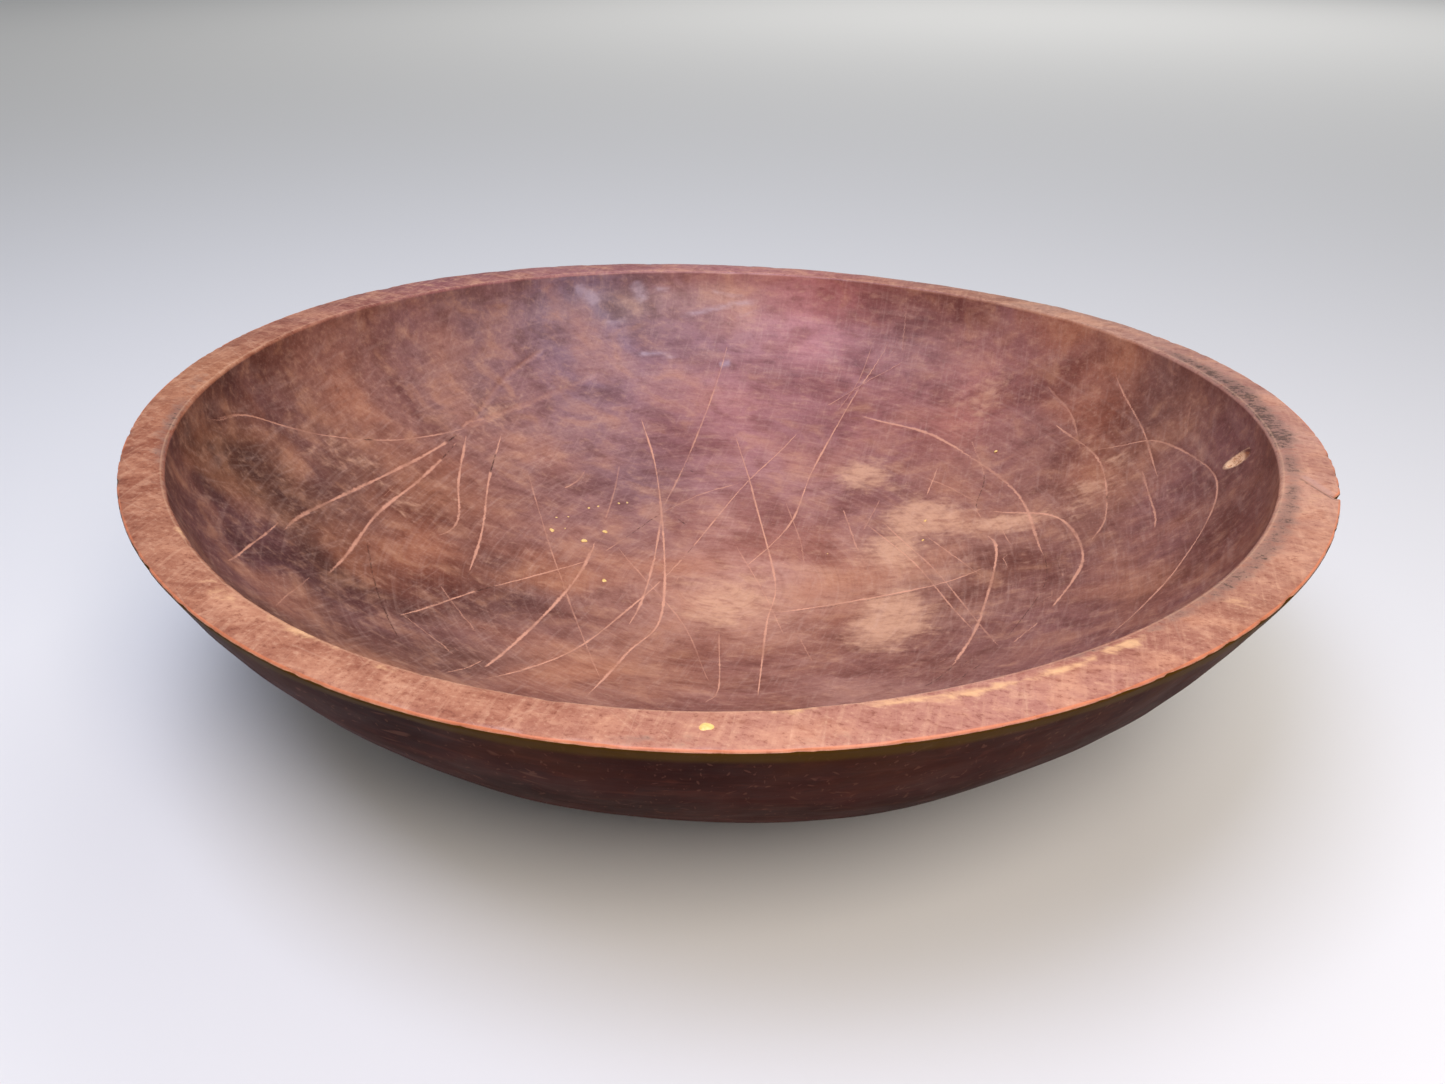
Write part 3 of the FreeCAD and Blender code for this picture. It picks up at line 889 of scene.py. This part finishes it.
# Patterns in the wood: size of one feature in mm, how many times longer it is along X, Y and Z,
# detail, roughness and distortion of its noise
WOOD_PATTERNS = {
    "drift": (75, (1.2, 1, 1), 2.0, 0.50, 0.3),
    "clouds": (38, (1.5, 1, 1), 3.0, 0.50, 0.4),
    "blotches": (12, (1.6, 1, 1), 4.0, 0.55, 0.5),
    "mottle": (3.5, (1.8, 1, 1), 4.0, 0.60, 0.3),
    "grain": (1.6, (10, 1, 1), 4.0, 0.65, 0.2),
    "figure": (1.5, (1, 9, 9), 3.0, 0.60, 0.1),
    "speckle": (1.2, (1.5, 1, 1), 4.0, 0.75, 0.0),
    "ragged": (2.2, (1, 1, 1), 4.0, 0.70, 0.0),
}
# Hairline scratches: their turn about Z in degrees, width in mm and how rare they are
HAIRLINES = [(35, 1.1, 0.69), (-48, 1.3, 0.70), (12, 1.2, 0.70), (82, 1.2, 0.70), (-15, 1.5, 0.71)]


def wood_patterns(tree, place):
    """The wood's noises by name, each drawn out along an axis."""
    patterns = {}
    for name, (size, stretch, detail, rough, warp) in WOOD_PATTERNS.items():
        spot = add(tree, "Mapping", {"Vector": place, "Scale": [1 / s for s in stretch]})
        patterns[name] = add(tree, "TexNoise", {
            "Vector": spot, "Scale": 1 / (size * MM), "Detail": detail, "Roughness": rough,
            "Distortion": warp})
    return patterns


def turning_rings(tree, place):
    """Fine rings about Z, 1.3 mm apart, each only a few centimetres long."""
    level = add(tree, "VectorMath", {0: place, 1: (1, 1, 0)}, operation="MULTIPLY")
    radius = add(tree, "VectorMath", {0: level}, operation="LENGTH")
    parts = add(tree, "SeparateXYZ", {0: place}).node.outputs
    slow = [add(tree, "Math", {0: part, 1: 0.05}, operation="MULTIPLY") for part in parts[:2]]
    spot = add(tree, "CombineXYZ", {0: radius, 1: slow[0], 2: slow[1]})
    return add(tree, "TexNoise", {"Vector": spot, "Scale": 1 / (1.3 * MM), "Detail": 2.0})


def hairlines(tree, place):
    """Faint straight scratches in several directions: noise drawn out forty times, peaks only."""
    total = 0.0
    for degrees, width, rare in HAIRLINES:
        turned = add(tree, "Mapping", {"Vector": place, "Rotation": (0, 0, math.radians(degrees))})
        drawn = add(tree, "Mapping", {"Vector": turned, "Scale": (1 / 40, 1, 0.4)})
        noise = add(tree, "TexNoise", {
            "Vector": drawn, "Scale": 1 / (width * MM), "Detail": 1.0, "Roughness": 0.5})
        line = add(tree, "MapRange", {"Value": noise, "From Min": rare, "From Max": rare + 0.07})
        total = add(tree, "Math", {0: line, 1: total}, operation="MAXIMUM")
    return total


def scar_lines(tree, ragged):
    """The scars as two masks, pale and dirty, with ragged edges.

    Both are worked out in half widths from the scar's middle. The pale one ends softly round
    one half width, and the dirty one is narrower.
    """
    wobble = add(tree, "Math", {0: ragged, 1: 2.0, 2: -1.0}, operation="MULTIPLY_ADD")
    pale = 0.0
    dirty = 0.0
    for number in range(SCAR_GROUPS):
        layer = add(tree, "Attribute", {}, attribute_name=f"scars_{number}")
        parts = add(tree, "SeparateXYZ", {0: layer.node.outputs["Vector"]}).node.outputs
        away = add(tree, "Math", {0: parts[0]}, operation="ABSOLUTE")
        away = add(tree, "Math", {0: away, 1: wobble}, operation="ADD")
        line = add(tree, "MapRange", {"Value": away, "From Min": 1.3, "From Max": 0.5})
        core = add(tree, "MapRange", {"Value": away, "From Min": 0.9, "From Max": 0.3})
        light = add(tree, "Math", {0: line, 1: parts[1]}, operation="MULTIPLY")
        dark = add(tree, "Math", {0: core, 1: parts[2]}, operation="MULTIPLY")
        pale = add(tree, "Math", {0: light, 1: pale}, operation="MAXIMUM")
        dirty = add(tree, "Math", {0: dark, 1: dirty}, operation="MAXIMUM")
    return pale, dirty


def laid_over(tree, skin, masks, layers):
    """Lay colours over a skin colour in turn, each by its own mask and strength."""
    for name, low, high, strength, code, *way in layers:
        share = add(tree, "MapRange", {
            "Value": masks[name], "From Min": low, "From Max": high, "To Max": strength},
            interpolation_type="SMOOTHSTEP")
        skin = add(tree, "Mix", {FACTOR: share, UNDER: skin, OVER: colour(code)},
                   data_type="RGBA", blend_type=way[0] if way else "MIX")
    return skin


def within(tree, value, start, full, last, end):
    """A mask that rises from start to full and falls from last to end."""
    rise = add(tree, "MapRange", {"Value": value, "From Min": start, "From Max": full})
    fall = add(tree, "MapRange", {"Value": value, "From Min": end, "From Max": last})
    return add(tree, "Math", {0: rise, 1: fall}, operation="MULTIPLY")


def bare_wood(name):
    """A new wood material with its tree, and the masks that all the wood shares, by name."""
    material, tree = new_material(name)
    place = add(tree, "TexCoord", {}).node.outputs["Object"]
    masks = wood_patterns(tree, place)
    masks["rings"] = turning_rings(tree, place)
    masks["scratches"] = hairlines(tree, place)
    masks["row"] = add(tree, "Attribute", {}, attribute_name="row").node.outputs["Fac"]
    return material, tree, masks


def finished_wood(tree, masks, skin, shine, height, strength, settings):
    """Close a wood material: gloss in blotches, the relief of pores and rings, the shader."""
    gloss = add(tree, "MapRange", {"Value": masks["blotches"], "From Min": 0.3, "From Max": 0.7,
                                   "To Min": shine[0], "To Max": shine[1]})
    bump = add(tree, "Bump", {
        "Strength": strength, "Distance": WOOD_RELIEF * MM, "Height": height})
    shader = add(tree, "BsdfPrincipled", {
        "Base Color": skin, "Roughness": gloss, "IOR": WOOD_IOR, "Normal": bump, **settings})
    add(tree, "OutputMaterial", {"Surface": shader})


# Colours laid over the stain in turn: the mask, its values at no cover and at full cover, the
# cover in full, the colour, and how it is mixed where it isn't simply laid on
HOLLOW_LAYERS = [
    ("drift", 0.50, 0.70, 0.35, "#85565a"),
    ("drift", 0.48, 0.30, 0.40, "#b0663c"),
    ("clouds", 0.48, 0.66, 0.55, "#b4806c", "MULTIPLY"),
    ("clouds", 0.50, 0.30, 0.30, "#c88660"),
    ("blotches", 0.48, 0.72, 0.50, "#b48c7c", "MULTIPLY"),
    ("blotches", 0.50, 0.28, 0.30, "#d09874"),
    ("rubbed", 0.35, 1.15, 0.72, "#dda987"),
    ("mottle", 0.50, 0.74, 0.22, "#dba888"),
    ("mottle", 0.50, 0.28, 0.28, "#a97c6c", "MULTIPLY"),
    ("rings", 0.50, 0.75, 0.09, "#e0b8a4"),
    ("rings", 0.48, 0.28, 0.15, "#b09088", "MULTIPLY"),
    ("grain", 0.48, 0.72, 0.16, "#b09088", "MULTIPLY"),
    ("figure", 0.50, 0.75, 0.12, "#e0b8a4"),
    ("speckle", 0.50, 0.75, 0.14, "#e0b8a4"),
    ("speckle", 0.50, 0.28, 0.25, "#a08078", "MULTIPLY"),
    ("scratches", 0.00, 1.00, 0.05, "#e4bca6"),
    ("scuffs", 0.05, 0.50, 0.42, "#c4b0bc"),
]
RIM_LAYERS = [
    ("clouds", 0.45, 0.65, 0.35, "#c08a74", "MULTIPLY"),
    ("blotches", 0.45, 0.70, 0.35, "#dca07a"),
    ("mottle", 0.48, 0.72, 0.35, "#e0a884"),
    ("mottle", 0.50, 0.28, 0.40, "#b57c62", "MULTIPLY"),
    ("figure", 0.48, 0.72, 0.20, "#e6b490"),
    ("speckle", 0.52, 0.72, 0.30, "#eabc98"),
    ("speckle", 0.48, 0.30, 0.55, "#9c6048", "MULTIPLY"),
    ("scratches", 0.00, 1.00, 0.10, "#ecc4a4"),
    ("yellowed", 0.30, 0.95, 0.75, "#ecba86"),
    ("sooty", 0.15, 0.80, 0.60, "#84665a"),
    ("blackened", 0.70, 1.20, 0.75, "#3e2d25"),
]
DAMAGE_AND_PAINTED_LIGHT_LAYERS = [
    # painted highlights: a thin orange line along the rim's outer edge and a pale line along its inner
    # edge
    ("outer_edge_highlight", 0.0, 1.0, 0.65, "#d97c50"),
    ("inner_edge_highlight", 0.0, 1.0, 0.20, "#dcb08c"),
    ("scarred", 0.0, 0.9, 0.90, "#dda083"),
    ("dirty", 0.0, 0.9, 0.85, "#3a1f15"),
    ("bruise", 0.2, 0.9, 0.5, "#b48c80"),
    ("shadow", 0.2, 0.9, 0.6, "#5a4238"),
    # painted shade: the brown of the chip's upper end, where the fresh wood fades out
    ("chip_shade", 0.1, 0.8, 0.8, "#b87c58"),
    ("fresh", 0.1, 0.8, 0.95, "#ffd0a2"),
    ("flakes", 0.42, 0.62, 0.75, "#b06c42"),
]
OUTSIDE_STAIN = "#270703"
OUTSIDE_LAYERS = [
    ("clouds", 0.35, 0.70, 0.6, "#4a1c14"),
    ("mottle", 0.52, 0.75, 0.3, "#5a2a1e"),
    ("grain", 0.50, 0.72, 0.5, "#270d0a"),
    ("rings", 0.55, 0.75, 0.2, "#6a3828"),
    ("scratches", 0.0, 1.0, 0.3, "#7c5040"),
    ("foot_ring", 0.0, 1.0, 0.5, "#7a4a34"),
    ("thin_stain", 3.35, 3.95, 0.80, "#4a3206"),
]
# Rows between which a colour comes in, is full, begins to go and is gone
# the first two are painted highlights along the rim's outer and inner edges
OUTER_EDGE_HIGHLIGHT = (4.2, 4.6, 4.9, 5.04)
INNER_EDGE_HIGHLIGHT = (6.0, 6.1, 6.2, 6.35)
FOOT_RING = (1.2, 1.9, 2.0, 2.06)
# Marks with broken edges: the mark, and the noises added to it with their reach up and down
BROKEN_MARKS = {
    "rubbed": ("worn", {"blotches": 1.5, "mottle": 0.9}),
    "sooty": ("soot", {"mottle": 1.6}),
    "blackened": ("soot", {"speckle": 3.0, "mottle": 1.6}),
    "yellowed": ("ochre", {"mottle": 1.6}),
}
# Marks that show only in part: the mark, and the noise that it is multiplied by
PARTLY_SHOWN = {
    "scarred": ("scarred", "scar_strength"),
    "dirty": ("dirty", "dirt_dots"),
    "scuffs": ("scuffed", "mottle"),
    "flakes": ("fresh", "speckle"),
}


def break_up(tree, masks):
    """Add the masks that the wood's noises break up: BROKEN_MARKS and PARTLY_SHOWN."""
    for name, (mark, noises) in BROKEN_MARKS.items():
        masks[name] = masks[mark]
        for noise, reach in noises.items():
            swing = add(tree, "Math", {0: masks[noise], 1: reach, 2: -reach / 2},
                        operation="MULTIPLY_ADD")
            masks[name] = add(tree, "Math", {0: masks[name], 1: swing}, operation="ADD")
    masks["scar_strength"] = add(tree, "MapRange", {
        "Value": masks["blotches"], "From Min": 0.38, "From Max": 0.58, "To Min": 0.45})
    masks["dirt_dots"] = add(tree, "MapRange", {
        "Value": masks["ragged"], "From Min": 0.44, "From Max": 0.54, "To Min": 0.15})
    for name, (mark, noise) in PARTLY_SHOWN.items():
        masks[name] = add(tree, "Math", {0: masks[mark], 1: masks[noise]}, operation="MULTIPLY")


def worn_maple():
    """Turned maple, stained red-brown, oiled by use and worn: the hollow and the rim.

    To the eye: soft clouds in the stain, close grain along X crossed by a fine rippled figure,
    faint turning rings and hairlines, pale scars with dots of dirt, an orange-tan rim where the
    stain is rubbed off, and soot on the rim's inner half. Painted in as well: highlights along
    the rim's two edges, shade in the nick and the chip's upper end, and, in the tone, shade low
    on the left and a cool sheen on the far wall.
    """
    material, tree, masks = bare_wood("oiled_worn_maple")
    masks["scarred"], masks["dirty"] = scar_lines(tree, masks["ragged"])
    for name in ("worn", "scuffed", "soot", "ochre", "fresh", "chip_shade", "bruise", "shadow"):
        masks[name] = add(tree, "Attribute", {}, attribute_name=name).node.outputs["Fac"]
    break_up(tree, masks)
    masks["outer_edge_highlight"] = within(tree, masks["row"], *OUTER_EDGE_HIGHLIGHT)
    masks["inner_edge_highlight"] = within(tree, masks["row"], *INNER_EDGE_HIGHLIGHT)

    tone = add(tree, "Attribute", {}, attribute_name="tone").node.outputs["Color"]
    rim = laid_over(tree, tone, masks, RIM_LAYERS)
    hollow = laid_over(tree, tone, masks, HOLLOW_LAYERS)
    inside = add(tree, "MapRange", {
        "Value": masks["row"], "From Min": INNER_EDGE + 0.4, "From Max": INNER_EDGE + 0.7})
    skin = add(tree, "Mix", {FACTOR: inside, UNDER: rim, OVER: hollow}, data_type="RGBA")
    skin = laid_over(tree, skin, masks, DAMAGE_AND_PAINTED_LIGHT_LAYERS)
    height = add(tree, "Math", {0: masks["grain"], 1: masks["rings"]}, operation="ADD")
    for name, depth in (("scarred", 2.0), ("dirty", 3.0)):
        height = add(tree, "Math", {0: masks[name], 1: -depth, 2: height},
                     operation="MULTIPLY_ADD")
    finished_wood(tree, masks, skin, (0.36, 0.50), height, 0.35, {})
    return material


def dull_stained_maple():
    """Turned maple under a thick dark stain gone dull: the base and the outer wall.

    To the eye: near-black red, a little lighter in clouds, an olive strip under the rim where
    the stain is thin, long faint rubs and a paler ring round the foot.
    """
    material, tree, masks = bare_wood("dull_stained_maple")
    masks["foot_ring"] = within(tree, masks["row"], *FOOT_RING)
    masks["thin_stain"] = add(tree, "Math", {0: masks["clouds"], 1: 0.9, 2: masks["row"]},
                              operation="MULTIPLY_ADD")
    skin = laid_over(tree, colour(OUTSIDE_STAIN), masks, OUTSIDE_LAYERS)
    height = add(tree, "Math", {0: masks["grain"], 1: masks["rings"]}, operation="ADD")
    finished_wood(tree, masks, skin, (0.52, 0.68), height, 0.3, {"Specular IOR Level": 0.05})
    return material


def dried_drip():
    """Dried varnish or batter: pale yellow, slightly glossy, mottled like poured resin."""
    material, tree = new_material("dried_yellow_drip")
    place = add(tree, "TexCoord", {}).node.outputs["Object"]
    mottle = add(tree, "TexNoise", {"Vector": place, "Scale": 1 / (0.8 * MM), "Detail": 3.0})
    tint = add(tree, "Mix", {FACTOR: mottle, UNDER: colour("#e2a845"), OVER: colour("#fbe29a")},
               data_type="RGBA")
    bump = add(tree, "Bump", {"Strength": 0.3, "Distance": 0.1 * MM, "Height": mottle})
    shader = add(tree, "BsdfPrincipled", {
        "Base Color": tint, "Roughness": 0.35, "IOR": 1.48, "Normal": bump})
    add(tree, "OutputMaterial", {"Surface": shader})
    return material


def plain_floor():
    """Matt painted board, pale and plain."""
    material, tree = new_material("pale_matt_board")
    shader = add(tree, "BsdfPrincipled", {"Base Color": colour("#e3e1dd"), "Roughness": 0.9})
    add(tree, "OutputMaterial", {"Surface": shader})
    return material


# ---- floor, light and camera ----
FLOOR_EDGES = (-7.0, 7.0, -2.0, 12.0)       # left, right, near and far, in metres
# Lights: name, place, aim, side and power of the square, colour, and whether gloss shows it
LIGHTS = [
    ("key", (0.34, -0.50, 0.66), (0.02, -0.02, 0.08), 0.45, 5.2, "#fff4ea", True),
    ("sky", (-0.16, -0.26, 1.10), (-0.02, 0.06, 0.05), 0.60, 8.0, "#d2dcff", True),
    ("far", (0.0, 3.5, 3.0), (0, 3.5, 0), 3.0, 90, "#ffffff", False),
]
ROOM_COLOUR = "#c9ced6"
ROOM_STRENGTH = 0.35
CAMERA_PLACE = (0.1037, -0.3424, 0.2385)
CAMERA_HEADING = math.radians(16.57)        # left of straight back
CAMERA_DIP = math.radians(29.47)
CAMERA_ROLL = math.radians(0.43)
CAMERA_LENS = 27.2                          # mm, on a sensor 36 mm wide


def build_stage():
    """A pale flat floor that reaches past the top of the camera's view."""
    left, right, near, far = FLOOR_EDGES
    mesh = bpy.data.meshes.new("floor")
    corners = [(left, near, 0), (right, near, 0), (right, far, 0), (left, far, 0)]
    mesh.from_pydata(corners, [], [(0, 1, 2, 3)])
    mesh.materials.append(plain_floor())
    floor = in_scene("floor", mesh)


def add_light(name, place, aim, size, watts, tint, glossy):
    """A square soft light at a place, turned to face its aim."""
    light = bpy.data.lights.new(name, "AREA")
    light.size = size
    light.energy = watts
    light.color = colour(tint)[:3]
    lamp = in_scene(name, light)
    lamp.location = place
    direction = np.array(aim) - np.array(place)
    heading = math.atan2(direction[1], direction[0]) - math.pi / 2
    tilt = math.atan2(math.hypot(direction[0], direction[1]), -direction[2])
    lamp.rotation_euler = (tilt, 0, heading)
    lamp.visible_glossy = glossy


def build_lights():
    """Soft studio light: the lights, and a grey room round them."""
    for light in LIGHTS:
        add_light(*light)
    world = bpy.data.worlds.new("studio")
    world.use_nodes = True
    room = world.node_tree.nodes["Background"].inputs
    room["Color"].default_value = colour(ROOM_COLOUR)
    room["Strength"].default_value = ROOM_STRENGTH
    bpy.context.scene.world = world


def build_camera():
    """A wide lens held low and close in front of the bowl, a little to its right."""
    camera = bpy.data.cameras.new("camera")
    camera.sensor_width = 36.0
    camera.lens = CAMERA_LENS
    camera.clip_start = 0.01
    view = in_scene("camera", camera)
    tilt = math.pi / 2 - CAMERA_DIP
    turn = (Matrix.Rotation(CAMERA_HEADING, 4, "Z") @ Matrix.Rotation(tilt, 4, "X")
            @ Matrix.Rotation(CAMERA_ROLL, 4, "Z"))
    view.matrix_world = Matrix.Translation(CAMERA_PLACE) @ turn
    bpy.context.scene.camera = view


bowl = build_bowl()
bowl.data.materials.append(worn_maple())
bowl.data.materials.append(dull_stained_maple())
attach(bowl, "root")
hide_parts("bowl")

drip_finish = dried_drip()
for node, drips, lift in (("rim_drip", RIM_DRIP, on_rim), ("inside_flecks", INSIDE_FLECKS, on_hollow)):
    piece = build_drips(f"dried_{node}", drips, lift)
    piece.data.materials.append(drip_finish)
    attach(piece, "root")
    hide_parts(node)

build_stage()
build_lights()
build_camera()
bpy.context.scene.view_settings.view_transform = "Standard"
